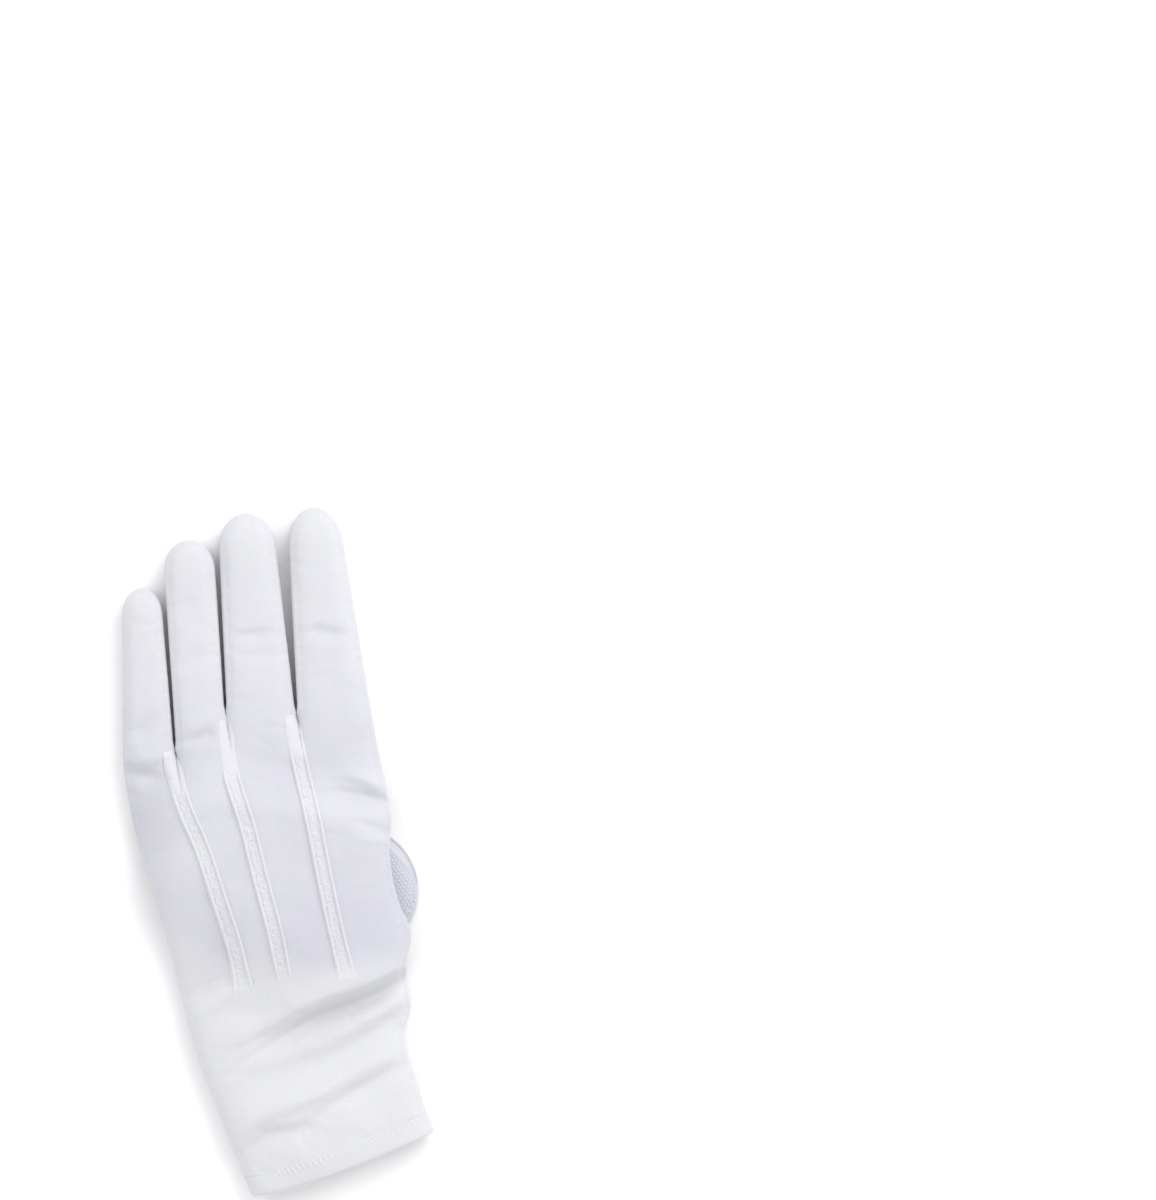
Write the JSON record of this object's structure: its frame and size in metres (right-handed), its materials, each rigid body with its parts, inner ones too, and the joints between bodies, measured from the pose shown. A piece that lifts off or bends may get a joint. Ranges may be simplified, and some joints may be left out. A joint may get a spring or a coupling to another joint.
{
  "type": "dress glove",
  "caption": "Plain white cloth dress glove for a left hand, lying palm down, with raised seams on its back, a dotted palm, a thumb folded under and a snapped wrist slit.",
  "frame": {"origin": "middle of the glove's box, on the surface that it lies on", "axes": "+Y from the cuff to the fingertips, +X to the index finger's side, +Z out of the back of the hand"},
  "size_m": [0.1, 0.2472, 0.0227],
  "materials": {
    "smooth_cloth": "smooth white stretch cloth, faint sheen",
    "dotted_cloth": "white cloth with rows of small raised grip dots",
    "snap_plastic": "satin white plastic"
  },
  "bodies": {
    "root": {"back_panel": "smooth_cloth", "fourchette_little_ring": "smooth_cloth", "fourchette_ring_middle": "smooth_cloth", "fourchette_middle_index": "smooth_cloth", "point_little": "smooth_cloth", "point_middle": "smooth_cloth", "point_index": "smooth_cloth", "cuff_hem": "smooth_cloth", "slit_binding": "smooth_cloth", "thumb_back": "smooth_cloth", "palm_panel": "dotted_cloth", "thumb_front": "dotted_cloth", "snap_cap": "snap_plastic", "snap_socket": "snap_plastic"}
  },
  "joints": []
}
